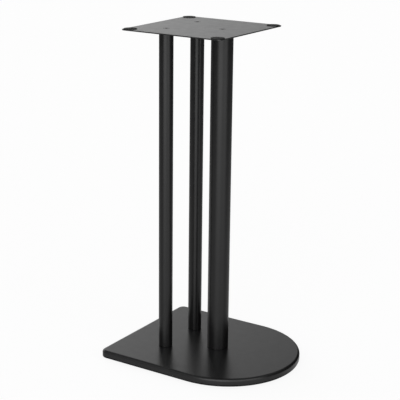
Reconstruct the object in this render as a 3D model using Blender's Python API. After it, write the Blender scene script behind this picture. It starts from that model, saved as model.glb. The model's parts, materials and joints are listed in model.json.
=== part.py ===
"""Speaker stand: a D-shaped base, three tubes and a top plate, held by screws.

Metres, +Z up. The rounded front of the base faces -Y. The origin is on the floor,
under the centre of the base's outline. "Left" is the side at -X.
"""

import math

import bmesh
import bpy

MM = 0.001
GAP = 0.3 * MM

# Base board
BASE_WIDTH = 269 * MM
BASE_DEPTH = 322 * MM
BASE_THICKNESS = 15 * MM
BASE_REAR_CORNER = 12 * MM
BASE_TOP_EDGE = 4.5 * MM
BASE_LOWER_EDGE = 4 * MM

# Top plate, measured over its flat upper face
PLATE_WIDTH = 206 * MM
PLATE_DEPTH = 199 * MM
PLATE_THICKNESS = 2 * MM
PLATE_CORNER = 6 * MM
PLATE_EDGE = 0.4 * MM
PLATE_CENTRE_Y = 32 * MM
HEIGHT_OVER_BASE = 599.2 * MM

# Tubes
FRONT_TUBE_RADIUS = 19.25 * MM
REAR_TUBE_RADIUS = 12.5 * MM
TUBE_WALL = 1.5 * MM
FRONT_TUBE_Y = -8 * MM
REAR_TUBE_X = 49 * MM
REAR_TUBE_Y = 74.5 * MM
PLUG_LENGTH = 18 * MM
PLUG_CHAMFER = 0.6 * MM

# M6 fasteners
THREAD_RADIUS = 3 * MM
THREAD_TIP = 0.8 * MM
CSK_HEAD_RADIUS = 5.7 * MM
TOP_SCREW_LENGTH = 16 * MM
SOCKET_ACROSS_FLATS = 4 * MM
SOCKET_DEPTH = 2 * MM
BOLT_HEAD_RADIUS = 5 * MM
BOLT_HEAD_HEIGHT = 6 * MM
BOLT_HEAD_EDGE = 0.5 * MM
BOLT_SOCKET_ACROSS_FLATS = 5 * MM
BOLT_SOCKET_DEPTH = 3 * MM
BOLT_GRIP_IN_PLUG = 12 * MM
WASHER_RADIUS = 9 * MM
WASHER_THICKNESS = 1.6 * MM
COUNTERBORE_RADIUS = 10 * MM
COUNTERBORE_DEPTH = 8.5 * MM
BOLT_HOLE_RADIUS = 3.6 * MM

# Corner pads
PAD_RADIUS = 11.75 * MM
PAD_THICKNESS = 0.5 * MM
PAD_EDGE = 0.15 * MM
PAD_INSET = 11.75 * MM

# Levelling feet, each with a stud that screws into a threaded insert
FOOT_RADIUS = 13 * MM
FOOT_DISC = 3 * MM
FOOT_EDGE = 0.8 * MM
FOOT_STUD = 10.5 * MM
FOOT_INSET = 30 * MM
FRONT_FOOT_ANGLE = math.radians(45)
SOLE_RADIUS = 12 * MM
SOLE_THICKNESS = 2.4 * MM
SOLE_EDGE = 0.5 * MM
INSERT_RADIUS = 4.8 * MM
INSERT_LENGTH = 10 * MM
INSERT_HOLE_DEPTH = 11.5 * MM

# Levels, counted up from the floor
FOOT_Z = SOLE_THICKNESS + GAP
BASE_Z = FOOT_Z + FOOT_DISC + GAP
BASE_TOP_Z = BASE_Z + BASE_THICKNESS
PLATE_TOP_Z = BASE_Z + HEIGHT_OVER_BASE
PLATE_Z = PLATE_TOP_Z - PLATE_THICKNESS
TUBE_Z = BASE_TOP_Z + GAP
TUBE_LENGTH = PLATE_Z - GAP - TUBE_Z
COUNTERBORE_ROOF_Z = BASE_Z + COUNTERBORE_DEPTH
WASHER_Z = COUNTERBORE_ROOF_Z - GAP - WASHER_THICKNESS
BOLT_Z = WASHER_Z - GAP - BOLT_HEAD_HEIGHT

# How finely round shapes are divided
LARGE_STEPS = 64
SMALL_STEPS = 32
CORNER_STEPS = 6
BASE_EDGE_STEPS = 4
PLATE_EDGE_STEPS = 2
SOCKET_SIDES = 6
MERGE_DISTANCE = 0.001 * MM
SHARP_ANGLE = math.radians(30)

SIDES = {"left": -1, "right": 1}
TUBES = {
    "front": (0, FRONT_TUBE_Y, FRONT_TUBE_RADIUS),
    "rear_left": (-REAR_TUBE_X, REAR_TUBE_Y, REAR_TUBE_RADIUS),
    "rear_right": (REAR_TUBE_X, REAR_TUBE_Y, REAR_TUBE_RADIUS),
}


def clear_scene():
    for obj in list(bpy.data.objects):
        bpy.data.objects.remove(obj, do_unlink=True)


def make_material(name, colour, roughness, metallic):
    material = bpy.data.materials.new(name)
    material.use_nodes = True
    shader = material.node_tree.nodes["Principled BSDF"]
    shader.inputs["Base Color"].default_value = (*colour, 1)
    shader.inputs["Roughness"].default_value = roughness
    shader.inputs["Metallic"].default_value = metallic
    return material


def make_object(name, mesh_data, location, material=None, parent=None):
    """Turns a bmesh into a smooth-shaded object at a place relative to its parent."""
    bmesh.ops.recalc_face_normals(mesh_data, faces=mesh_data.faces)
    mesh = bpy.data.meshes.new(name)
    mesh_data.to_mesh(mesh)
    mesh_data.free()
    mesh.shade_smooth()
    mesh.set_sharp_from_angle(angle=SHARP_ANGLE)
    obj = bpy.data.objects.new(name, mesh)
    bpy.context.scene.collection.objects.link(obj)
    obj.location = location
    obj.parent = parent
    if material:
        mesh.materials.append(material)
    return obj


def turned(profile, steps):
    """A solid of revolution about Z from a closed profile of (radius, height) points."""
    shape = bmesh.new()
    points = [shape.verts.new((radius, 0, height)) for radius, height in profile]
    loop = [shape.edges.new((points[i - 1], points[i])) for i in range(len(points))]
    bmesh.ops.spin(
        shape,
        geom=points + loop,
        cent=(0, 0, 0),
        axis=(0, 0, 1),
        angle=math.tau,
        steps=steps,
        use_merge=True,
    )
    bmesh.ops.remove_doubles(shape, verts=shape.verts, dist=MERGE_DISTANCE)
    on_axis = [e for e in shape.edges if all(v.co.xy.length < MERGE_DISTANCE for v in e.verts)]
    bmesh.ops.delete(shape, geom=on_axis, context="EDGES")
    return shape


def disc_profile(radius, thickness, edge):
    """A solid disc standing on z = 0, with both rims chamfered."""
    return [
        (0, 0),
        (radius - edge, 0),
        (radius, edge),
        (radius, thickness - edge),
        (radius - edge, thickness),
        (0, thickness),
    ]


def ring_profile(inner, outer, length, edge=0.0):
    """A ring standing on z = 0; edge chamfers all four of its rims."""
    if not edge:
        return [(inner, 0), (outer, 0), (outer, length), (inner, length)]
    return [
        (inner + edge, 0),
        (outer - edge, 0),
        (outer, edge),
        (outer, length - edge),
        (outer - edge, length),
        (inner + edge, length),
        (inner, length - edge),
        (inner, edge),
    ]


def arc(centre_x, centre_y, radius, start, end, steps):
    """Points along an arc, in degrees, both ends included."""
    angles = [math.radians(start + (end - start) * i / steps) for i in range(steps + 1)]
    return [(centre_x + radius * math.cos(a), centre_y + radius * math.sin(a)) for a in angles]


def base_outline():
    """The D: a half circle at the front, straight sides, and small rear corners."""
    half = BASE_WIDTH / 2
    front_centre_y = half - BASE_DEPTH / 2
    corner_x = half - BASE_REAR_CORNER
    corner_y = BASE_DEPTH / 2 - BASE_REAR_CORNER
    return (
        arc(0, front_centre_y, half, 180, 360, LARGE_STEPS)
        + arc(corner_x, corner_y, BASE_REAR_CORNER, 0, 90, CORNER_STEPS)
        + arc(-corner_x, corner_y, BASE_REAR_CORNER, 90, 180, CORNER_STEPS)
    )


def plate_outline():
    corner_x = PLATE_WIDTH / 2 - PLATE_CORNER
    corner_y = PLATE_DEPTH / 2 - PLATE_CORNER
    return (
        arc(corner_x, corner_y, PLATE_CORNER, 0, 90, CORNER_STEPS)
        + arc(-corner_x, corner_y, PLATE_CORNER, 90, 180, CORNER_STEPS)
        + arc(-corner_x, -corner_y, PLATE_CORNER, 180, 270, CORNER_STEPS)
        + arc(corner_x, -corner_y, PLATE_CORNER, 270, 360, CORNER_STEPS)
    )


def slab(outline, thickness, top_edge, lower_edge, steps):
    """An outline extruded up from z = 0, with its upper and lower rims rounded."""
    shape = bmesh.new()
    lower = shape.faces.new([shape.verts.new((x, y, 0)) for x, y in outline])
    raised = bmesh.ops.extrude_face_region(shape, geom=[lower], use_keep_orig=True)
    upper_points = [item for item in raised["geom"] if isinstance(item, bmesh.types.BMVert)]
    bmesh.ops.translate(shape, verts=upper_points, vec=(0, 0, thickness))
    for height, width in ((thickness, top_edge), (0, lower_edge)):
        rim = [e for e in shape.edges if all(abs(v.co.z - height) < MERGE_DISTANCE for v in e.verts)]
        bmesh.ops.bevel(
            shape, geom=rim, offset=width, segments=steps, profile=0.5, affect="EDGES"
        )
    return shape


def cut(target, name, mesh_data, location):
    """Takes a shape out of the target and keeps the cutter as a hidden guide."""
    cutter = make_object(name, mesh_data, location)
    cutter.hide_render = True
    cutter.display_type = "WIRE"
    modifier = target.modifiers.new(name, "BOOLEAN")
    modifier.operation = "DIFFERENCE"
    modifier.object = cutter


def socket_cutter(across_flats, depth):
    """A hexagonal prism that stands on z = 0."""
    radius = across_flats / 2 / math.cos(math.pi / SOCKET_SIDES)
    return turned([(0, 0), (radius, 0), (radius, depth), (0, depth)], SOCKET_SIDES)


def foot_places():
    """The four foot axes, set in from the edge of the base."""
    half = BASE_WIDTH / 2
    rear_x = half - FOOT_INSET
    rear_y = BASE_DEPTH / 2 - FOOT_INSET
    front_x = rear_x * math.sin(FRONT_FOOT_ANGLE)
    front_y = half - BASE_DEPTH / 2 - rear_x * math.cos(FRONT_FOOT_ANGLE)
    places = {}
    for side, sign in SIDES.items():
        places[f"front_{side}"] = (sign * front_x, front_y)
        places[f"rear_{side}"] = (sign * rear_x, rear_y)
    return places


def build_base(stand, lacquer):
    shape = slab(base_outline(), BASE_THICKNESS, BASE_TOP_EDGE, BASE_LOWER_EDGE, BASE_EDGE_STEPS)
    base = make_object("base_plate", shape, (0, 0, BASE_Z), lacquer, stand)
    for name, (x, y, _) in TUBES.items():
        bore = [
            (0, -GAP),
            (COUNTERBORE_RADIUS, -GAP),
            (COUNTERBORE_RADIUS, COUNTERBORE_DEPTH),
            (BOLT_HOLE_RADIUS, COUNTERBORE_DEPTH),
            (BOLT_HOLE_RADIUS, BASE_THICKNESS + GAP),
            (0, BASE_THICKNESS + GAP),
        ]
        cut(base, f"{name}_bolt_bore", turned(bore, SMALL_STEPS), (x, y, BASE_Z))
    for name, (x, y) in foot_places().items():
        radius = INSERT_RADIUS + GAP
        blind = [(0, -GAP), (radius, -GAP), (radius, INSERT_HOLE_DEPTH), (0, INSERT_HOLE_DEPTH)]
        cut(base, f"{name}_insert_bore", turned(blind, SMALL_STEPS), (x, y, BASE_Z))


def build_top_plate(stand, coating):
    shape = slab(plate_outline(), PLATE_THICKNESS, PLATE_EDGE, PLATE_EDGE, PLATE_EDGE_STEPS)
    plate = make_object("top_plate", shape, (0, PLATE_CENTRE_Y, PLATE_Z), coating, stand)
    mouth = CSK_HEAD_RADIUS + GAP
    sink = [
        (0, -GAP),
        (mouth - PLATE_THICKNESS - GAP, -GAP),
        (mouth + GAP, PLATE_THICKNESS + GAP),
        (0, PLATE_THICKNESS + GAP),
    ]
    for name, (x, y, _) in TUBES.items():
        cut(plate, f"{name}_countersink", turned(sink, SMALL_STEPS), (x, y, PLATE_Z))


def build_tube(stand, name, x, y, radius, coating, steel):
    """One tube with a threaded plug flush with each of its ends."""
    tube = turned(ring_profile(radius - TUBE_WALL, radius, TUBE_LENGTH), LARGE_STEPS)
    make_object(f"{name}_tube", tube, (x, y, TUBE_Z), coating, stand)
    plug_radius = radius - TUBE_WALL - GAP
    profile = ring_profile(THREAD_RADIUS + GAP, plug_radius, PLUG_LENGTH, PLUG_CHAMFER)
    for end, z in (("base", TUBE_Z), ("top", TUBE_Z + TUBE_LENGTH - PLUG_LENGTH)):
        plug = turned(profile, SMALL_STEPS)
        make_object(f"{name}_tube_{end}_plug", plug, (x, y, z), steel, stand)


def build_top_screw(stand, name, x, y, black_steel):
    """A countersunk socket screw, with its origin in the middle of its head's flat top."""
    cone = CSK_HEAD_RADIUS - THREAD_RADIUS
    profile = [
        (0, 0),
        (CSK_HEAD_RADIUS, 0),
        (THREAD_RADIUS, -cone),
        (THREAD_RADIUS, THREAD_TIP - TOP_SCREW_LENGTH),
        (THREAD_RADIUS - THREAD_TIP, -TOP_SCREW_LENGTH),
        (0, -TOP_SCREW_LENGTH),
    ]
    place = (x, y, PLATE_TOP_Z)
    screw = make_object(f"{name}_top_screw", turned(profile, SMALL_STEPS), place, black_steel, stand)
    socket = socket_cutter(SOCKET_ACROSS_FLATS, SOCKET_DEPTH + GAP)
    cut(screw, f"{name}_top_socket", socket, (x, y, PLATE_TOP_Z - SOCKET_DEPTH))


def build_base_bolt(stand, name, x, y, black_steel, zinc):
    """A cap bolt and its washer, put in from below the base."""
    grip_top = TUBE_Z + BOLT_GRIP_IN_PLUG - BOLT_Z
    profile = [
        (0, 0),
        (BOLT_HEAD_RADIUS - BOLT_HEAD_EDGE, 0),
        (BOLT_HEAD_RADIUS, BOLT_HEAD_EDGE),
        (BOLT_HEAD_RADIUS, BOLT_HEAD_HEIGHT),
        (THREAD_RADIUS, BOLT_HEAD_HEIGHT),
        (THREAD_RADIUS, grip_top - THREAD_TIP),
        (THREAD_RADIUS - THREAD_TIP, grip_top),
        (0, grip_top),
    ]
    bolt_shape = turned(profile, SMALL_STEPS)
    bolt = make_object(f"{name}_base_bolt", bolt_shape, (x, y, BOLT_Z), black_steel, stand)
    socket = socket_cutter(BOLT_SOCKET_ACROSS_FLATS, BOLT_SOCKET_DEPTH + GAP)
    cut(bolt, f"{name}_base_socket", socket, (x, y, BOLT_Z - GAP))
    washer = turned(ring_profile(THREAD_RADIUS + GAP, WASHER_RADIUS, WASHER_THICKNESS), SMALL_STEPS)
    make_object(f"{name}_base_washer", washer, (x, y, WASHER_Z), zinc, stand)


def build_pads(stand, rubber):
    reach_x = PLATE_WIDTH / 2 - PAD_INSET
    reach_y = PLATE_DEPTH / 2 - PAD_INSET
    for end, end_sign in (("front", -1), ("rear", 1)):
        for side, side_sign in SIDES.items():
            pad = turned(disc_profile(PAD_RADIUS, PAD_THICKNESS, PAD_EDGE), SMALL_STEPS)
            place = (side_sign * reach_x, PLATE_CENTRE_Y + end_sign * reach_y, PLATE_TOP_Z + GAP)
            make_object(f"pad_{end}_{side}", pad, place, rubber, stand)


def build_foot(stand, name, x, y, brass, zinc, rubber):
    """An insert in the base, and a foot that slides down its axis with its sole."""
    insert = turned(ring_profile(THREAD_RADIUS + GAP, INSERT_RADIUS, INSERT_LENGTH), SMALL_STEPS)
    make_object(f"foot_insert_{name}", insert, (x, y, BASE_Z + GAP), brass, stand)
    stud_top = FOOT_DISC + FOOT_STUD
    profile = [
        (0, 0),
        (FOOT_RADIUS - FOOT_EDGE, 0),
        (FOOT_RADIUS, FOOT_EDGE),
        (FOOT_RADIUS, FOOT_DISC - FOOT_EDGE),
        (FOOT_RADIUS - FOOT_EDGE, FOOT_DISC),
        (THREAD_RADIUS, FOOT_DISC),
        (THREAD_RADIUS, stud_top - THREAD_TIP),
        (THREAD_RADIUS - THREAD_TIP, stud_top),
        (0, stud_top),
    ]
    foot_shape = turned(profile, SMALL_STEPS)
    foot = make_object(f"levelling_foot_{name}", foot_shape, (x, y, FOOT_Z), zinc, stand)
    sole = turned(disc_profile(SOLE_RADIUS, SOLE_THICKNESS, SOLE_EDGE), SMALL_STEPS)
    make_object(f"foot_sole_{name}", sole, (0, 0, -FOOT_Z), rubber, foot)


def build_stand():
    stand = bpy.data.objects.new("stand", None)
    bpy.context.scene.collection.objects.link(stand)
    lacquer = make_material("black_lacquer", (0.022, 0.022, 0.023), 0.38, 0.0)
    coating = make_material("black_powder_coat", (0.018, 0.018, 0.019), 0.42, 0.0)
    rubber = make_material("black_rubber", (0.012, 0.012, 0.012), 0.75, 0.0)
    black_steel = make_material("black_oxide_steel", (0.03, 0.03, 0.032), 0.4, 0.9)
    steel = make_material("bare_steel", (0.5, 0.49, 0.47), 0.35, 1.0)
    zinc = make_material("zinc_plate", (0.62, 0.63, 0.65), 0.3, 1.0)
    brass = make_material("brass", (0.72, 0.53, 0.25), 0.32, 1.0)
    build_base(stand, lacquer)
    build_top_plate(stand, coating)
    for name, (x, y, radius) in TUBES.items():
        build_tube(stand, name, x, y, radius, coating, steel)
        build_top_screw(stand, name, x, y, black_steel)
        build_base_bolt(stand, name, x, y, black_steel, zinc)
    build_pads(stand, rubber)
    for name, (x, y) in foot_places().items():
        build_foot(stand, name, x, y, brass, zinc, rubber)


clear_scene()
build_stand()
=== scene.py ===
"""Looks of the speaker stand: fine meshes, finishes, studio light and camera.

Metres, +Z up, with the rounded front at -Y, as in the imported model. Sizes and places are read
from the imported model's nodes. The constants below add only what a node's box can't tell.
"""

import json
import math

import bmesh
import bpy
from mathutils import Matrix, Vector

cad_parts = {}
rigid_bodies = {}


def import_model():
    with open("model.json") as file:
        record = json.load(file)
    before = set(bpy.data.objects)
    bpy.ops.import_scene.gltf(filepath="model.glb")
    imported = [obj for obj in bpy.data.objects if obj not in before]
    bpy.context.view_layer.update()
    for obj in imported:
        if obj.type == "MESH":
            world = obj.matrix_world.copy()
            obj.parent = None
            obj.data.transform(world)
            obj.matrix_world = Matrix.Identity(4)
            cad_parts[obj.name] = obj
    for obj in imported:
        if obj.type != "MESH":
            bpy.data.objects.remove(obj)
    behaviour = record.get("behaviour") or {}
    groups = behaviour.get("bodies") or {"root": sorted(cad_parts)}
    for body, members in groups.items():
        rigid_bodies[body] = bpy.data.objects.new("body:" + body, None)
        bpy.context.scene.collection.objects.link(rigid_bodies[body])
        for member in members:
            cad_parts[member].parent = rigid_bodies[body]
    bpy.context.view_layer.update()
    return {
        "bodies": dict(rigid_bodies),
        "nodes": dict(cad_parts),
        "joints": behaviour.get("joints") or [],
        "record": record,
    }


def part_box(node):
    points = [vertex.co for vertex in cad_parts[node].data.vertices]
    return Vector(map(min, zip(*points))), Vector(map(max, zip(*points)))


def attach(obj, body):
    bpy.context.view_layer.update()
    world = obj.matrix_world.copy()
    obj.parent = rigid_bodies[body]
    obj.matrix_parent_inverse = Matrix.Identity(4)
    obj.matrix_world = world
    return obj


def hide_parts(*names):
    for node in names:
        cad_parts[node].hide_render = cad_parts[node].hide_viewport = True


MM = 0.001

# Camera
CAMERA_AZIMUTH = math.radians(-57.328)
CAMERA_ELEVATION = math.radians(16.463)
CAMERA_ROLL = math.radians(0.619)
CAMERA_DISTANCE = 2092.5 * MM
CAMERA_TARGET = Vector((-52.6, 0.1, 312.9)) * MM
CAMERA_LENS = 108.13
CAMERA_SENSOR = 36

# Base board and top plate
BASE_REAR_CORNER = 12 * MM
BASE_TOP_EDGE = 4.5 * MM
BASE_LOWER_EDGE = 4 * MM
COUNTERBORE_RADIUS = 10 * MM
COUNTERBORE_DEPTH = 8.5 * MM
BOLT_HOLE_RADIUS = 3.6 * MM
INSERT_HOLE_RADIUS = 5.1 * MM
INSERT_HOLE_DEPTH = 11.5 * MM
PLATE_CORNER = 6 * MM
PLATE_EDGE = 0.4 * MM
SINK_GAP = 0.3 * MM
CUTTER_OVERRUN = 0.3 * MM

# Tubes and plugs
TUBE_WALL = 1.5 * MM
TUBE_END_EDGE = 0.4 * MM
PLUG_CHAMFER = 0.6 * MM

# M6 thread. THREAD_ROWS rows of points make one turn. A bore's thread runs in to BORE_CREST.
THREAD_PITCH = 1 * MM
THREAD_ROWS = 6
THREAD_RADIUS = 3 * MM
THREAD_ROOT = 2.5 * MM
THREAD_TIP = 0.8 * MM
BORE_RADIUS = 3.3 * MM
BORE_CREST = 3.06 * MM

# Fasteners
SCREW_SOCKET = 4 * MM
SCREW_SOCKET_DEPTH = 2 * MM
BOLT_HEAD_HEIGHT = 6 * MM
BOLT_SOCKET = 5 * MM
BOLT_SOCKET_DEPTH = 3 * MM
SOCKET_CHAMFER = 0.3 * MM
DRILL_POINT = 0.5 * MM
HEAD_EDGE = 0.35 * MM
KNURL_DEPTH = 0.16 * MM
KNURLS = 32
RIM_EDGE = 0.25 * MM
INSERT_GROOVES = ((0.1, 0.2), (0.5, 0.6))  # starts and ends, as shares of the insert's height

# Levelling feet
FOOT_DISC = 3 * MM
FOOT_EDGE = 0.6 * MM
FOOT_KNURL_DEPTH = 0.4 * MM
SOLE_EDGE = 0.6 * MM
SOLE_RIBS = 4
SOLE_GROOVE = 0.45 * MM
SOLE_DIMPLE = 2.5 * MM

# Pads
PAD_EDGE = 0.15 * MM
PAD_GROOVE = 0.12 * MM
PAD_RIBS = 5

# Ribs: the groove's floor and the rib's top, as shares of the distance from one rib to the next
RIB_GROOVE = (0.06, 0.24)
RIB_TOP = (0.36, 0.94)

# How finely shapes are divided, and the angle between faces that still looks smooth
FRONT_STEPS = 160
CORNER_STEPS = 16
TUBE_STEPS = 160
ROUND_STEPS = 96
EDGE_STEPS = 6
SIDE_BANDS = 24
SMOOTH_ANGLE = math.radians(32)

# Finishes: the sizes of their patterns, and the stretch of each pattern that is spread from 0 to 1
TONE_SIZE = 60 * MM
TONE_STRETCH = (0.35, 0.65)
SPECK_GRAINS = 3
SPECK_STRETCH = (0.3, 0.7)
SPECK_SHARE = 0.3
GLOSS_SIZE = 15 * MM
GLOSS_STRETCH = (0.3, 0.7)
GRAIN_DETAIL = 2
RING_WOBBLE = 0.6

# Worn edges. WEAR_TURN holds the cosines between the rounded and the true normal where wear
# starts and is full, and a pattern breaks the wear up.
WEAR_WIDTH = 0.6 * MM
WEAR_SAMPLES = 4
WEAR_TURN = (0.995, 0.9)
WEAR_PATCH = 4 * MM
WEAR_DETAIL = 6
WEAR_STRETCH = (0.45, 0.6)
WEAR_DULLING = 0.15

# Floor, and the pale backdrop that only the camera sees
FLOOR_HALF = 60
FLOOR_DROP = 0.2 * MM
FLOOR_TONE = 0.15
FLOOR_GLOW = 0.903
BACKDROP = 1.225

# Studio light. Heights are the Z of a unit direction, and each pair is where a ramp starts and
# ends. WALL_ENDS are cosines from the wall's azimuth, and WALL_TILT brightens it across, from 0
# to 2 times. A front light has an azimuth, the angles from it where its light starts and is full,
# and a strength. Its light comes in rows, each with a foot and a head.
AMBIENT = 0.01
CEILING_STRENGTH = 0.35
CEILING_START = (0.5, 0.8)
WALL_AZIMUTH = math.radians(122.7)
WALL_STRENGTH = 1.07
WALL_SIDE_GLOW = 0.3
WALL_ENDS = (0.15, 0.6)
WALL_FOOT = (-0.02, 0.06)
WALL_HEAD = (0.75, 0.35)
WALL_TILT = (-0.37, 0.37, 0.0, 2.0)
LIGHT_ROWS = (((-0.36, -0.02), (0.14, 0.0)), ((0.22, 0.30), (0.75, 0.55)))
FRONT_LIGHTS = (
    (math.radians(-71), (math.radians(34), math.radians(12)), 3.5),
    (math.radians(-21), (math.radians(28), math.radians(8)), 2.5),
)
GLOW_STRENGTH = 0.76
GLOW_RISE = (-0.12, -0.36)
GLOW_FALL = (-0.56, -0.43)


def arc(centre_x, centre_y, radius, start, end, steps):
    """Points along an arc, in degrees, both ends included."""
    angles = [math.radians(start + (end - start) * i / steps) for i in range(steps + 1)]
    return [(centre_x + radius * math.cos(a), centre_y + radius * math.sin(a)) for a in angles]


def ring(radius, height, steps):
    """Points round the Z axis, or one on it. The radius is a number or a function of the angle."""
    if radius == 0:
        return [(0, 0, height)]
    angles = [math.tau * i / steps for i in range(steps)]
    radii = [radius(a) if callable(radius) else radius for a in angles]
    return [(r * math.cos(a), r * math.sin(a), height) for r, a in zip(radii, angles)]


def skin(rings, closed=False):
    """Joins rings of points with faces, and caps both ends unless the last ring meets the first."""
    shape = bmesh.new()
    rows = [[shape.verts.new(point) for point in points] for points in rings]
    following = rows[1:] + rows[:1] if closed else rows[1:]
    for lower, upper in zip(rows, following):
        for i in range(max(len(lower), len(upper))):
            j = i + 1
            corners = (
                lower[i % len(lower)],
                lower[j % len(lower)],
                upper[j % len(upper)],
                upper[i % len(upper)],
            )
            # A ring of one point gives the same corner twice, and the face is then a triangle.
            shape.faces.new(list(dict.fromkeys(corners)))
    if not closed:
        for end in (rows[0], rows[-1]):
            if len(end) > 1:
                shape.faces.new(end)
    bmesh.ops.recalc_face_normals(shape, faces=shape.faces)
    return shape


def turned(profile, steps=ROUND_STEPS, closed=False):
    """A solid of revolution from (radius, height) rows."""
    return skin([ring(radius, height, steps) for radius, height in profile], closed)


def thread(valley, crest, start, end):
    """Rows of a screw thread between two heights, which fades out at both of them."""
    rows = round(abs(end - start) / THREAD_PITCH * THREAD_ROWS)

    def row(i):
        height = start + (end - start) * i / rows
        fade = min(1, i / THREAD_ROWS, (rows - i) / THREAD_ROWS)

        def radius(angle):
            phase = (height / THREAD_PITCH - angle / math.tau) % 1
            return valley + (crest - valley) * fade * (1 - abs(2 * phase - 1))

        return radius, height

    return [row(i) for i in range(rows + 1)]


def hexagon(across_flats):
    """The radius of a hexagon as a function of the angle."""
    sector = math.tau / 6

    def radius(angle):
        return across_flats / 2 / math.cos((angle + sector / 2) % sector - sector / 2)

    return radius


def knurl(radius, depth, count):
    """The radius of a rim with straight ridges, as a function of the angle."""

    def ridged(angle):
        phase = (angle * count / math.tau) % 1
        return radius - depth * abs(2 * phase - 1)

    return ridged


def ribs(inner, outer, height, depth, count, edge):
    """Profile rows over a flat face, outwards from inner, with count ring grooves in it."""
    pitch = (outer - inner) / count
    rows = []
    for i in range(count):
        start = inner + i * pitch
        rows += [(start + share * pitch, height + depth) for share in RIB_GROOVE]
        rows += [(start + share * pitch, height) for share in RIB_TOP]
    rows[-1] = (outer - edge, height)
    return rows


def place_of(node):
    """The centre of a node's box in X and Y, and its lowest height."""
    low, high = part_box(node)
    return Vector(((low.x + high.x) / 2, (low.y + high.y) / 2, low.z))


def radius_of(node):
    """Half the width of a round node's box."""
    low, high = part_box(node)
    return (high.x - low.x) / 2


def height_of(node):
    """The height of a node's box."""
    low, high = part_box(node)
    return high.z - low.z


def make_object(name, shape, place):
    """An object in the scene, with the shape as its mesh."""
    mesh = bpy.data.meshes.new(name)
    shape.to_mesh(mesh)
    shape.free()
    obj = bpy.data.objects.new(name, mesh)
    bpy.context.scene.collection.objects.link(obj)
    obj.location = place
    return obj


def carve(obj, cutters):
    """Takes closed shapes, given in the object's own space, out of its mesh."""
    joined = bmesh.new()
    for shape, place in cutters:
        bmesh.ops.translate(shape, verts=shape.verts, vec=place)
        part = bpy.data.meshes.new("cutter_part")
        shape.to_mesh(part)
        shape.free()
        joined.from_mesh(part)
        bpy.data.meshes.remove(part)
    cutter = make_object("cutter", joined, obj.location)
    modifier = obj.modifiers.new("carve", "BOOLEAN")
    modifier.operation = "DIFFERENCE"
    modifier.solver = "EXACT"
    modifier.object = cutter
    evaluated = obj.evaluated_get(bpy.context.evaluated_depsgraph_get())
    carved = bpy.data.meshes.new_from_object(evaluated)
    obj.modifiers.clear()
    obj.data = carved
    bpy.data.objects.remove(cutter)


class Stand:
    """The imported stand, and the pieces that stand for its nodes."""

    def __init__(self, frame, finishes):
        self.finishes = finishes
        bodies = frame["record"]["behaviour"]["bodies"]
        self.body_of = {node: body for body, nodes in bodies.items() for node in nodes}

    def add(self, node, shape, slot, finish=None, cutters=()):
        """Puts a mesh in place of a node, on the node's body."""
        piece = make_object(f"{node}_visual", shape, place_of(node))
        if cutters:
            carve(piece, cutters)
        piece.data.materials.clear()
        piece.data.materials.append(self.finishes[finish or slot])
        piece.data.shade_smooth()
        piece.data.set_sharp_from_angle(angle=SMOOTH_ANGLE)
        weighted = piece.modifiers.new("weighted_normals", "WEIGHTED_NORMAL")
        weighted.keep_sharp = True
        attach(piece, self.body_of[node])
        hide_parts(node)
        return piece


def tube_names(frame):
    """The tubes' names, such as rear_left."""
    return sorted(node.removesuffix("_tube") for node in frame["nodes"] if node.endswith("_tube"))


def foot_names(frame):
    """The feet's names, such as front_left."""
    start = "foot_sole_"
    return sorted(node.removeprefix(start) for node in frame["nodes"] if node.startswith(start))


def pad_names(frame):
    """The pads' nodes, such as pad_front_left."""
    return sorted(node for node in frame["nodes"] if node.startswith("pad_"))


# ---------------------------------------------------------------- pieces


def base_outline(half_width, half_depth, inset):
    """The D: a half circle at the front, straight sides, and small rear corners."""
    corner = BASE_REAR_CORNER
    corner_x = half_width - corner
    corner_y = half_depth - corner
    return (
        arc(0, half_width - half_depth, half_width - inset, 180, 360, FRONT_STEPS)
        + arc(corner_x, corner_y, corner - inset, 0, 90, CORNER_STEPS)
        + arc(-corner_x, corner_y, corner - inset, 90, 180, CORNER_STEPS)
    )


def plate_outline(half_width, half_depth, inset):
    """A rectangle with round corners."""
    points = []
    signs = ((1, 1), (-1, 1), (-1, -1), (1, -1))
    for quarter, (x_sign, y_sign) in enumerate(signs):
        corner_x = x_sign * (half_width - PLATE_CORNER)
        corner_y = y_sign * (half_depth - PLATE_CORNER)
        start = 90 * quarter
        points += arc(corner_x, corner_y, PLATE_CORNER - inset, start, start + 90, CORNER_STEPS)
    return points


def slab(outline, node, lower_edge, upper_edge):
    """A board or plate as large as the node, with its lower and upper rims rounded."""
    low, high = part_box(node)
    half = (high - low) / 2
    thickness = high.z - low.z
    sides = arc(lower_edge, lower_edge, lower_edge, 270, 180, EDGE_STEPS)
    sides += arc(upper_edge, thickness - upper_edge, upper_edge, 180, 90, EDGE_STEPS)
    rings = []
    for inset, height in sides:
        rings.append([(x, y, height) for x, y in outline(half.x, half.y, inset)])
    return skin(rings)


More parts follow.
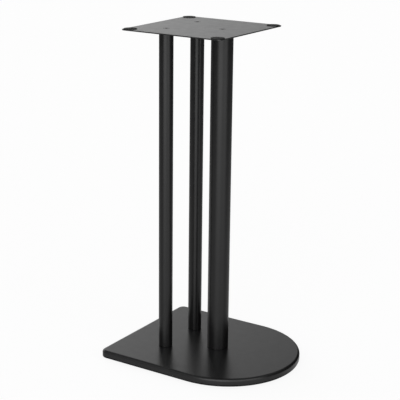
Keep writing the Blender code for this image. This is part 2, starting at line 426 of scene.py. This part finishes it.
def build_base(stand, tubes, feet):
    """The board, with a counterbored hole for each tube's bolt and a blind one for each insert."""
    base_place = place_of("base_plate")
    thickness = height_of("base_plate")
    over = CUTTER_OVERRUN
    cutters = []
    for name in tubes:
        bore = [
            (0, -over),
            (COUNTERBORE_RADIUS + over, -over),
            (COUNTERBORE_RADIUS, over),
            (COUNTERBORE_RADIUS, COUNTERBORE_DEPTH),
            (BOLT_HOLE_RADIUS, COUNTERBORE_DEPTH),
            (BOLT_HOLE_RADIUS, thickness + over),
            (0, thickness + over),
        ]
        offset = place_of(f"{name}_base_bolt") - base_place
        cutters.append((turned(bore), (offset.x, offset.y, 0)))
    for name in feet:
        blind = [
            (0, -over),
            (INSERT_HOLE_RADIUS, -over),
            (INSERT_HOLE_RADIUS, INSERT_HOLE_DEPTH),
            (0, INSERT_HOLE_DEPTH),
        ]
        offset = place_of(f"foot_insert_{name}") - base_place
        cutters.append((turned(blind), (offset.x, offset.y, 0)))
    shape = slab(base_outline, "base_plate", BASE_LOWER_EDGE, BASE_TOP_EDGE)
    stand.add("base_plate", shape, "base_lacquer", cutters=cutters)


def build_top_plate(stand, tubes):
    """The plate, with a countersunk hole for each tube's screw."""
    plate_place = place_of("top_plate")
    thickness = height_of("top_plate")
    over = CUTTER_OVERRUN
    cutters = []
    for name in tubes:
        screw = f"{name}_top_screw"
        mouth = radius_of(screw) + SINK_GAP
        sink = [
            (0, -over),
            (mouth - thickness - over, -over),
            (mouth + over, thickness + over),
            (0, thickness + over),
        ]
        offset = place_of(screw) - plate_place
        cutters.append((turned(sink), (offset.x, offset.y, 0)))
    shape = slab(plate_outline, "top_plate", PLATE_EDGE, PLATE_EDGE)
    # The plate gets the copy of the powder coat whose colour is painted lighter, as painted light.
    stand.add("top_plate", shape, "powder_coat", finish="plate_coat_painted_lighter", cutters=cutters)


def build_tube(stand, name):
    """A tube with its ends lightly rounded outside, and the two threaded plugs in it."""
    node = f"{name}_tube"
    outer = radius_of(node)
    inner = outer - TUBE_WALL
    length = height_of(node)
    edge = TUBE_END_EDGE
    profile = arc(outer - edge, edge, edge, 270, 360, EDGE_STEPS)
    bands = [edge + (length - 2 * edge) * i / SIDE_BANDS for i in range(1, SIDE_BANDS)]
    profile += [(outer, height) for height in bands]
    profile += arc(outer - edge, length - edge, edge, 0, 90, EDGE_STEPS)
    profile += [(inner, length), (inner, 0)]
    stand.add(node, turned(profile, TUBE_STEPS, closed=True), "powder_coat")
    for end in ("base", "top"):
        plug = f"{name}_tube_{end}_plug"
        radius = radius_of(plug)
        height = height_of(plug)
        chamfer = PLUG_CHAMFER
        profile = [
            (radius - chamfer, 0),
            (radius, chamfer),
            (radius, height - chamfer),
            (radius - chamfer, height),
            (BORE_RADIUS + chamfer, height),
            *thread(BORE_RADIUS, BORE_CREST, height - chamfer, chamfer),
            (BORE_RADIUS + chamfer, 0),
        ]
        stand.add(plug, turned(profile, closed=True), "bare_steel")


def build_top_screw(stand, name):
    """A countersunk screw: its head is flush with the plate, with a hexagon socket in it."""
    node = f"{name}_top_screw"
    radius = radius_of(node)
    top = height_of(node)
    cone = radius - THREAD_RADIUS
    shank_end = top - cone - RIM_EDGE
    profile = [
        (0, top - SCREW_SOCKET_DEPTH - DRILL_POINT),
        (hexagon(SCREW_SOCKET), top - SCREW_SOCKET_DEPTH),
        (hexagon(SCREW_SOCKET), top - SOCKET_CHAMFER),
        (hexagon(SCREW_SOCKET + 2 * SOCKET_CHAMFER), top),
        *arc(radius - RIM_EDGE, top - RIM_EDGE, RIM_EDGE, 90, 0, EDGE_STEPS),
        (THREAD_RADIUS, shank_end),
        *thread(THREAD_ROOT, THREAD_RADIUS, shank_end - THREAD_PITCH, THREAD_TIP),
        (THREAD_ROOT - THREAD_TIP / 2, 0),
        (0, 0),
    ]
    stand.add(node, turned(profile), "black_steel")


def build_base_bolt(stand, name):
    """A knurled cap bolt with a hexagon socket in its lower end, and its washer."""
    node = f"{name}_base_bolt"
    radius = radius_of(node)
    top = height_of(node)
    side = knurl(radius, KNURL_DEPTH, KNURLS)
    profile = [
        (0, BOLT_SOCKET_DEPTH + DRILL_POINT),
        (hexagon(BOLT_SOCKET), BOLT_SOCKET_DEPTH),
        (hexagon(BOLT_SOCKET), SOCKET_CHAMFER),
        (hexagon(BOLT_SOCKET + 2 * SOCKET_CHAMFER), 0),
        *arc(radius - 2 * HEAD_EDGE, HEAD_EDGE, HEAD_EDGE, 270, 360, EDGE_STEPS),
        (side, 2 * HEAD_EDGE),
        (side, BOLT_HEAD_HEIGHT - HEAD_EDGE),
        (radius - HEAD_EDGE, BOLT_HEAD_HEIGHT),
        (THREAD_RADIUS, BOLT_HEAD_HEIGHT),
        (THREAD_RADIUS, BOLT_HEAD_HEIGHT + THREAD_PITCH),
        *thread(THREAD_ROOT, THREAD_RADIUS, BOLT_HEAD_HEIGHT + 2 * THREAD_PITCH, top - THREAD_TIP),
        (THREAD_ROOT - THREAD_TIP / 2, top),
        (0, top),
    ]
    stand.add(node, turned(profile), "black_steel")
    washer = f"{name}_base_washer"
    outer = radius_of(washer)
    thickness = height_of(washer)
    edge = RIM_EDGE
    profile = [
        (BORE_RADIUS + edge, 0),
        (outer - edge, 0),
        (outer, edge),
        *arc(outer - 2 * edge, thickness - 2 * edge, 2 * edge, 0, 90, EDGE_STEPS),
        (BORE_RADIUS + edge, thickness),
        (BORE_RADIUS, thickness - edge),
        (BORE_RADIUS, edge),
    ]
    stand.add(washer, turned(profile, closed=True), "zinc_steel")


def build_pad(stand, name):
    """A thin round rubber pad with ring grooves in its top."""
    radius = radius_of(name)
    top = height_of(name)
    grooved = ribs(0, radius, top, -PAD_GROOVE, PAD_RIBS, PAD_EDGE)
    profile = [(0, top), *grooved]
    profile += arc(radius - PAD_EDGE, top - PAD_EDGE, PAD_EDGE, 90, 0, EDGE_STEPS)[1:]
    profile += [(radius, PAD_EDGE / 2), (radius - PAD_EDGE / 2, 0), (0, 0)]
    stand.add(name, turned(profile), "pad_rubber")


def build_foot(stand, name):
    """A knurled levelling foot with its stud, its rubber sole, and the brass insert above it."""
    foot = f"levelling_foot_{name}"
    radius = radius_of(foot)
    top = height_of(foot)
    rim = knurl(radius, FOOT_KNURL_DEPTH, KNURLS)
    shoulder = radius - FOOT_KNURL_DEPTH - FOOT_EDGE
    profile = [
        (0, 0),
        (shoulder, 0),
        (rim, FOOT_EDGE),
        (rim, FOOT_DISC - FOOT_EDGE),
        (shoulder, FOOT_DISC),
        (THREAD_RADIUS, FOOT_DISC),
        *thread(THREAD_ROOT, THREAD_RADIUS, FOOT_DISC + THREAD_PITCH / 2, top - THREAD_TIP),
        (THREAD_ROOT - THREAD_TIP / 2, top),
        (0, top),
    ]
    stand.add(foot, turned(profile), "zinc_steel")
    sole = f"foot_sole_{name}"
    radius = radius_of(sole)
    top = height_of(sole)
    grooved = ribs(SOLE_DIMPLE, radius, 0, SOLE_GROOVE, SOLE_RIBS, SOLE_EDGE)
    profile = [(0, SOLE_GROOVE), *grooved]
    profile += arc(radius - SOLE_EDGE, SOLE_EDGE, SOLE_EDGE, 270, 360, EDGE_STEPS)[1:]
    profile += arc(radius - SOLE_EDGE, top - SOLE_EDGE, SOLE_EDGE, 0, 90, EDGE_STEPS)
    profile += [(0, top)]
    stand.add(sole, turned(profile), "pad_rubber")
    insert = f"foot_insert_{name}"
    radius = radius_of(insert)
    top = height_of(insert)
    side = knurl(radius, KNURL_DEPTH, KNURLS)
    neck = radius - 2 * KNURL_DEPTH
    profile = [(radius - RIM_EDGE, 0), (radius, RIM_EDGE)]
    below = radius
    for start, end in INSERT_GROOVES:
        profile += [
            (below, start * top),
            (neck, start * top + RIM_EDGE),
            (neck, end * top),
            (side, end * top + RIM_EDGE),
        ]
        below = side
    profile += [(side, top - 2 * RIM_EDGE), (neck, top)]
    profile += thread(BORE_RADIUS, BORE_CREST, top, 0)
    stand.add(insert, turned(profile, closed=True), "brass")


# -------------------------------------------------------------- finishes


class Graph:
    """Short ways to add shader nodes and to join them."""

    def __init__(self, tree):
        self.tree = tree

    def feed(self, socket, value):
        """Gives a node's input a number, a colour or another node's output."""
        if isinstance(value, bpy.types.NodeSocket):
            self.tree.links.new(value, socket)
        else:
            socket.default_value = value

    def add(self, kind, inputs=None, **settings):
        """A new node with its inputs fed, by name or number."""
        node = self.tree.nodes.new(kind)
        for name, value in settings.items():
            setattr(node, name, value)
        for key, value in (inputs or {}).items():
            self.feed(node.inputs[key], value)
        return node

    def math(self, operation, *values):
        """The result of a sum on two or three values."""
        inputs = dict(enumerate(values))
        return self.add("ShaderNodeMath", inputs, operation=operation).outputs[0]

    def product(self, *factors):
        """All the factors multiplied."""
        result = factors[0]
        for factor in factors[1:]:
            result = self.math("MULTIPLY", result, factor)
        return result

    def span(self, value, low, high, to_low=0, to_high=1, kind="LINEAR"):
        """Maps a value from one range to another."""
        inputs = {
            "Value": value,
            "From Min": low,
            "From Max": high,
            "To Min": to_low,
            "To Max": to_high,
        }
        node = self.add("ShaderNodeMapRange", inputs, interpolation_type=kind)
        return node.outputs["Result"]

    def noise(self, place, size, detail=3):
        """A soft random pattern with features of a size."""
        inputs = {"Vector": place, "Scale": 1 / size, "Detail": detail}
        return self.add("ShaderNodeTexNoise", inputs).outputs["Fac"]

    def mix(self, factor, first, second):
        """A colour between two, where either may be an (r, g, b) or another node's output."""
        node = self.add("ShaderNodeMix", data_type="RGBA")
        sockets = {socket.name: socket for socket in node.inputs if socket.enabled}
        self.feed(sockets["Factor"], factor)
        for side, colour in (("A", first), ("B", second)):
            self.feed(sockets[side], (*colour, 1) if isinstance(colour, tuple) else colour)
        return next(socket for socket in node.outputs if socket.enabled)


def make_finish(
    name,
    dark,
    light,
    roughness,
    grain,
    grain_height,
    roughness_spread=0.04,
    metallic=0,
    specular=0.5,
    turned_rings=None,
    worn=None,
    wear=0,
):
    """A Principled material: two tones in soft patches, uneven gloss, grain, and worn edges."""
    material = bpy.data.materials.new(name)
    material.use_nodes = True
    graph = Graph(material.node_tree)
    place = graph.add("ShaderNodeTexCoord").outputs["Object"]
    patches = graph.span(graph.noise(place, TONE_SIZE), *TONE_STRETCH)
    specks = graph.span(graph.noise(place, grain * SPECK_GRAINS), *SPECK_STRETCH)
    speckled = graph.product(specks, SPECK_SHARE)
    tone = graph.math("MULTIPLY_ADD", patches, 1 - SPECK_SHARE, speckled)
    colour = graph.mix(tone, dark, light)
    gloss = graph.span(
        graph.noise(place, GLOSS_SIZE),
        *GLOSS_STRETCH,
        roughness - roughness_spread,
        roughness + roughness_spread,
    )
    if worn:
        bevel = graph.add("ShaderNodeBevel", {"Radius": WEAR_WIDTH}, samples=WEAR_SAMPLES)
        true_normal = graph.add("ShaderNodeNewGeometry").outputs["Normal"]
        inputs = {0: bevel.outputs["Normal"], 1: true_normal}
        facing = graph.add("ShaderNodeVectorMath", inputs, operation="DOT_PRODUCT")
        edge = graph.span(facing.outputs["Value"], *WEAR_TURN)
        broken = graph.span(graph.noise(place, WEAR_PATCH, WEAR_DETAIL), *WEAR_STRETCH)
        mask = graph.product(edge, broken, wear)
        colour = graph.mix(mask, colour, worn)
        gloss = graph.math("MULTIPLY_ADD", mask, WEAR_DULLING, gloss)
    height = graph.noise(place, grain, GRAIN_DETAIL)
    if turned_rings:
        rings = graph.add(
            "ShaderNodeTexWave",
            {"Vector": place, "Scale": 1 / turned_rings, "Distortion": RING_WOBBLE},
            wave_type="RINGS",
            rings_direction="Z",
        )
        height = graph.math("ADD", height, rings.outputs["Fac"])
    bump = graph.add("ShaderNodeBump", {"Height": height, "Distance": grain_height, "Strength": 1})
    looks = {
        "Base Color": colour,
        "Roughness": gloss,
        "Metallic": metallic,
        "Specular IOR Level": specular,
        "Normal": bump.outputs["Normal"],
    }
    shader = material.node_tree.nodes["Principled BSDF"]
    for key, value in looks.items():
        graph.feed(shader.inputs[key], value)
    return material


def make_finishes():
    """Every finish by its slot's name. The plate's coat is a glossier copy of the tubes' powder
    coat, with its colour painted lighter as painted light, and its slot is powder_coat.
    """
    return {
        "base_lacquer": make_finish(
            "black_satin_lacquer",
            dark=(0.0075, 0.0075, 0.0078),
            light=(0.0095, 0.0095, 0.0098),
            roughness=0.30,
            roughness_spread=0.02,
            grain=2.2 * MM,
            grain_height=0.006 * MM,
            worn=(0.03, 0.03, 0.03),
            wear=0.4,
        ),
        "powder_coat": make_finish(
            "black_powder_coat",
            dark=(0.0045, 0.0045, 0.0047),
            light=(0.0065, 0.0065, 0.0068),
            roughness=0.31,
            roughness_spread=0.02,
            grain=0.7 * MM,
            grain_height=0.006 * MM,
            worn=(0.03, 0.03, 0.03),
            wear=0.4,
        ),
        # A copy of the tubes' powder coat with a higher specular level, and its colour painted
        # lighter as painted light on the plate.
        "plate_coat_painted_lighter": make_finish(
            "black_powder_coat_painted_lighter_on_plate",
            dark=(0.0085, 0.0085, 0.0088),
            light=(0.0115, 0.0115, 0.0118),
            roughness=0.32,
            roughness_spread=0.02,
            specular=0.84,
            grain=0.7 * MM,
            grain_height=0.006 * MM,
            worn=(0.03, 0.03, 0.03),
            wear=0.4,
        ),
        "pad_rubber": make_finish(
            "black_rubber",
            dark=(0.010, 0.010, 0.010),
            light=(0.016, 0.016, 0.016),
            roughness=0.72,
            roughness_spread=0.08,
            specular=0.35,
            grain=0.4 * MM,
            grain_height=0.02 * MM,
        ),
        "black_steel": make_finish(
            "black_oxide_steel",
            dark=(0.020, 0.020, 0.022),
            light=(0.035, 0.034, 0.034),
            roughness=0.38,
            metallic=0.6,
            grain=0.3 * MM,
            grain_height=0.004 * MM,
            worn=(0.18, 0.17, 0.16),
            wear=0.5,
        ),
        "bare_steel": make_finish(
            "turned_steel",
            dark=(0.42, 0.41, 0.39),
            light=(0.56, 0.55, 0.53),
            roughness=0.34,
            roughness_spread=0.08,
            metallic=1.0,
            grain=0.5 * MM,
            grain_height=0.004 * MM,
            turned_rings=1.2 * MM,
            worn=(0.7, 0.69, 0.67),
            wear=0.5,
        ),
        "zinc_steel": make_finish(
            "bright_zinc_plate",
            dark=(0.52, 0.53, 0.56),
            light=(0.68, 0.68, 0.70),
            roughness=0.30,
            roughness_spread=0.09,
            metallic=1.0,
            grain=0.8 * MM,
            grain_height=0.004 * MM,
            worn=(0.78, 0.78, 0.78),
            wear=0.5,
        ),
        "brass": make_finish(
            "turned_brass",
            dark=(0.55, 0.39, 0.16),
            light=(0.74, 0.55, 0.27),
            roughness=0.30,
            roughness_spread=0.08,
            metallic=1.0,
            grain=0.5 * MM,
            grain_height=0.004 * MM,
            turned_rings=1.0 * MM,
            worn=(0.85, 0.68, 0.36),
            wear=0.5,
        ),
    }


# ---------------------------------------------------------------- studio


def make_floor():
    """A pale floor that glows, shows in no reflection, and is clear from below."""
    corners = [(x * FLOOR_HALF, y * FLOOR_HALF, 0) for x, y in ((-1, -1), (1, -1), (1, 1), (-1, 1))]
    mesh = bpy.data.meshes.new("floor")
    mesh.from_pydata(corners, [], [(0, 1, 2, 3)])
    floor = bpy.data.objects.new("floor", mesh)
    bpy.context.scene.collection.objects.link(floor)
    floor.location.z = -FLOOR_DROP
    floor.visible_glossy = False
    material = bpy.data.materials.new("pale_floor")
    material.use_nodes = True
    graph = Graph(material.node_tree)
    looks = {
        "Base Color": (FLOOR_TONE, FLOOR_TONE, FLOOR_TONE, 1),
        "Roughness": 1,
        "Specular IOR Level": 0,
        "Emission Color": (1, 1, 1, 1),
        "Emission Strength": FLOOR_GLOW,
    }
    shader = material.node_tree.nodes["Principled BSDF"]
    for key, value in looks.items():
        graph.feed(shader.inputs[key], value)
    from_below = graph.add("ShaderNodeNewGeometry").outputs["Backfacing"]
    clear = graph.add("ShaderNodeBsdfTransparent").outputs[0]
    surface = graph.add("ShaderNodeMixShader", {0: from_below, 1: shader.outputs[0], 2: clear})
    output = material.node_tree.nodes["Material Output"]
    graph.feed(output.inputs["Surface"], surface.outputs[0])
    mesh.materials.append(material)


def make_world():
    """Studio surroundings as light on the stand, and a plain pale backdrop for the camera.

    The light is a pale wall behind the stand, two lights before it, a dim ceiling, and a glow from
    below the horizon, which the gloss sees through the floor.
    """
    world = bpy.data.worlds.new("studio")
    bpy.context.scene.world = world
    world.use_nodes = True
    world.node_tree.nodes.clear()
    graph = Graph(world.node_tree)
    place = graph.add("ShaderNodeTexCoord").outputs["Generated"]
    height = graph.add("ShaderNodeSeparateXYZ", {0: place}).outputs["Z"]
    flat = graph.add("ShaderNodeVectorMath", {0: place, 1: (1, 1, 0)}, operation="MULTIPLY")
    level = graph.add("ShaderNodeVectorMath", {0: flat.outputs[0]}, operation="NORMALIZE")

    def toward(azimuth):
        """The cosine of the level angle between a direction and an azimuth."""
        axis = (math.sin(azimuth), -math.cos(azimuth), 0)
        inputs = {0: level.outputs[0], 1: axis}
        node = graph.add("ShaderNodeVectorMath", inputs, operation="DOT_PRODUCT")
        return node.outputs["Value"]

    def ramp(value, ends, low=0, high=1):
        """A smooth step between two ends."""
        return graph.span(value, *ends, low, high, kind="SMOOTHSTEP")

    wall = graph.product(
        ramp(height, WALL_FOOT),
        ramp(height, WALL_HEAD),
        ramp(toward(WALL_AZIMUTH), WALL_ENDS, WALL_SIDE_GLOW),
        graph.span(toward(WALL_AZIMUTH + math.pi / 2), *WALL_TILT),
        WALL_STRENGTH,
    )
    ceiling = ramp(height, CEILING_START, AMBIENT, CEILING_STRENGTH)
    light = graph.math("ADD", wall, ceiling)
    rows = [graph.product(ramp(height, foot), ramp(height, head)) for foot, head in LIGHT_ROWS]
    both_rows = graph.math("ADD", *rows)
    for azimuth, angles, strength in FRONT_LIGHTS:
        across = ramp(toward(azimuth), [math.cos(angle) for angle in angles])
        light = graph.math("ADD", light, graph.product(across, both_rows, strength))
    glow = graph.product(ramp(height, GLOW_RISE), ramp(height, GLOW_FALL), GLOW_STRENGTH)
    light = graph.math("ADD", light, glow)
    seen = graph.add("ShaderNodeLightPath").outputs["Is Camera Ray"]
    # In a mix of numbers, input 0 is the factor, and 2 and 3 are what it mixes.
    shown = graph.add("ShaderNodeMix", {0: seen, 2: light, 3: BACKDROP}).outputs[0]
    background = graph.add("ShaderNodeBackground", {"Strength": shown})
    graph.add("ShaderNodeOutputWorld", {"Surface": background.outputs[0]})


def make_camera():
    """A camera at its azimuth, elevation and distance from the target, rolled a little."""
    camera = bpy.data.cameras.new("camera")
    camera.lens = CAMERA_LENS
    camera.sensor_width = CAMERA_SENSOR
    view = bpy.data.objects.new("camera", camera)
    bpy.context.scene.collection.objects.link(view)
    level = math.cos(CAMERA_ELEVATION)
    back = Vector(
        (
            math.sin(CAMERA_AZIMUTH) * level,
            -math.cos(CAMERA_AZIMUTH) * level,
            math.sin(CAMERA_ELEVATION),
        )
    )
    right = Vector((0, 0, 1)).cross(back).normalized()
    up = back.cross(right)
    tilt = Matrix.Rotation(CAMERA_ROLL, 3, "Z")
    turn = Matrix((right, up, back)).transposed() @ tilt
    view.location = CAMERA_TARGET + back * CAMERA_DISTANCE
    view.rotation_mode = "QUATERNION"
    view.rotation_quaternion = turn.to_quaternion()
    bpy.context.scene.camera = view


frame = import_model()

make_camera()
make_floor()
make_world()
bpy.context.scene.view_settings.view_transform = "Standard"

stand = Stand(frame, make_finishes())
tubes = tube_names(frame)
feet = foot_names(frame)
build_base(stand, tubes, feet)
build_top_plate(stand, tubes)
for name in tubes:
    build_tube(stand, name)
    build_top_screw(stand, name)
    build_base_bolt(stand, name)
for name in pad_names(frame):
    build_pad(stand, name)
for name in feet:
    build_foot(stand, name)
